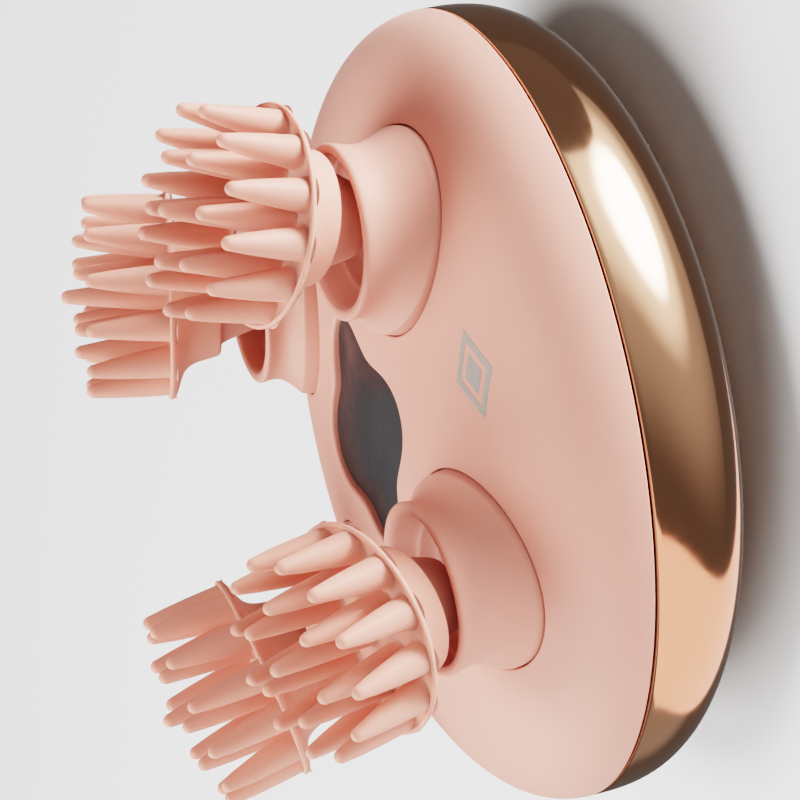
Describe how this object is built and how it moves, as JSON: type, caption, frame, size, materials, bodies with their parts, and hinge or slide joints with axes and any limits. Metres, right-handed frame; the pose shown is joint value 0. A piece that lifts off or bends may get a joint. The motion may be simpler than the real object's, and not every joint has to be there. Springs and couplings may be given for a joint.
{
  "type": "electric scalp massager",
  "caption": "Palm-held electric scalp massager: round pink body on a glossy rose-gold back, with tilted silicone heads of cone bristles that wobble round as they turn.",
  "frame": {"origin": "centre of the flat back that the massager rests on", "axes": "+Z along the round body's axis, from the back towards the heads; the heads stand on the diagonals of X and Y; -X towards the charging port"},
  "size_m": [0.11, 0.11, 0.0713],
  "materials": {
    "pink_plastic": "soft matte",
    "pink_silicone": "satin silicone",
    "rose_gold": "mirror-like metallised",
    "smoked_plastic": "gloss",
    "dark_rubber": "matte",
    "gray_plastic": "satin",
    "white_acetal": "satin",
    "steel": "brushed",
    "battery_wrap": "satin",
    "board_green": "satin"
  },
  "bodies": {
    "body": {"front_shell": "pink_plastic", "neck_collar_1": "pink_plastic", "neck_collar_2": "pink_plastic", "neck_collar_3": "pink_plastic", "neck_collar_4": "pink_plastic", "back_cover": "rose_gold", "center_window": "smoked_plastic", "seam_gasket": "dark_rubber", "spindle_seal_1": "dark_rubber", "spindle_seal_2": "dark_rubber", "spindle_seal_3": "dark_rubber", "spindle_seal_4": "dark_rubber", "button_switch": "dark_rubber", "chassis": "gray_plastic", "gearbox_cover": "gray_plastic", "motor_clamp": "gray_plastic", "battery_tray": "gray_plastic", "light_column": "gray_plastic", "spindle_bearing_1": "steel", "spindle_bearing_2": "steel", "spindle_bearing_3": "steel", "spindle_bearing_4": "steel", "central_axle": "steel", "motor": "steel", "charging_socket": "steel", "button_spring": "steel", "cover_screw_1": "steel", "cover_screw_2": "steel", "cover_screw_3": "steel", "cover_screw_4": "steel", "chassis_screw_1": "steel", "chassis_screw_2": "steel", "chassis_screw_3": "steel", "chassis_screw_4": "steel", "battery": "battery_wrap", "circuit_board": "board_green", "light_board": "board_green", "charging_board": "board_green"},
    "drive": {"central_gear": "white_acetal"},
    "motor_rotor": {"motor_pinion": "steel"},
    "head_1": {"massage_head_1": "pink_silicone", "head_hub_1": "pink_plastic", "drive_spindle_1": "steel", "output_gear_1": "white_acetal"},
    "head_2": {"massage_head_2": "pink_silicone", "head_hub_2": "pink_plastic", "drive_spindle_2": "steel", "output_gear_2": "white_acetal"},
    "head_3": {"massage_head_3": "pink_silicone", "head_hub_3": "pink_plastic", "drive_spindle_3": "steel", "output_gear_3": "white_acetal"},
    "head_4": {"massage_head_4": "pink_silicone", "head_hub_4": "pink_plastic", "drive_spindle_4": "steel", "output_gear_4": "white_acetal"},
    "button": {"power_button": "rose_gold"},
    "port_cover": {"port_flap": "dark_rubber"}
  },
  "joints": [
    {"name": "drive_spin", "type": "hinge", "parent": "body", "child": "drive", "pos_m": [0, 0, 0.0226], "axis": [0, 0, 1], "continuous": true},
    {"name": "motor_spin", "type": "hinge", "parent": "body", "child": "motor_rotor", "pos_m": [0.03306, 0, 0.0226], "axis": [0, 0, 1], "continuous": true},
    {"name": "head_spin_1", "type": "hinge", "parent": "body", "child": "head_1", "pos_m": [0.0255, 0.0255, 0.0226], "axis": [0, 0, 1], "continuous": true},
    {"name": "head_spin_2", "type": "hinge", "parent": "body", "child": "head_2", "pos_m": [-0.0255, 0.0255, 0.0226], "axis": [0, 0, 1], "continuous": true},
    {"name": "head_spin_3", "type": "hinge", "parent": "body", "child": "head_3", "pos_m": [-0.0255, -0.0255, 0.0226], "axis": [0, 0, 1], "continuous": true},
    {"name": "head_spin_4", "type": "hinge", "parent": "body", "child": "head_4", "pos_m": [0.0255, -0.0255, 0.0226], "axis": [0, 0, 1], "continuous": true},
    {"name": "button_press", "type": "slide", "parent": "body", "child": "button", "axis": [0, 0, 1], "range_m": [0, 0.0008], "stiffness_N_per_m": 400, "deforming": ["button_spring"]},
    {"name": "port_flap_hinge", "type": "hinge", "parent": "body", "child": "port_cover", "pos_m": [-0.0532, 0, 0.0127], "axis": [0, -1, 0], "range_deg": [0, 90]}
  ],
  "couplings": [
    {"joint": "motor_spin", "follows": "drive_spin", "ratio": -5.6},
    {"joint": "head_spin_1", "follows": "drive_spin", "ratio": -3.5},
    {"joint": "head_spin_2", "follows": "drive_spin", "ratio": -3.5},
    {"joint": "head_spin_3", "follows": "drive_spin", "ratio": -3.5},
    {"joint": "head_spin_4", "follows": "drive_spin", "ratio": -3.5}
  ]
}
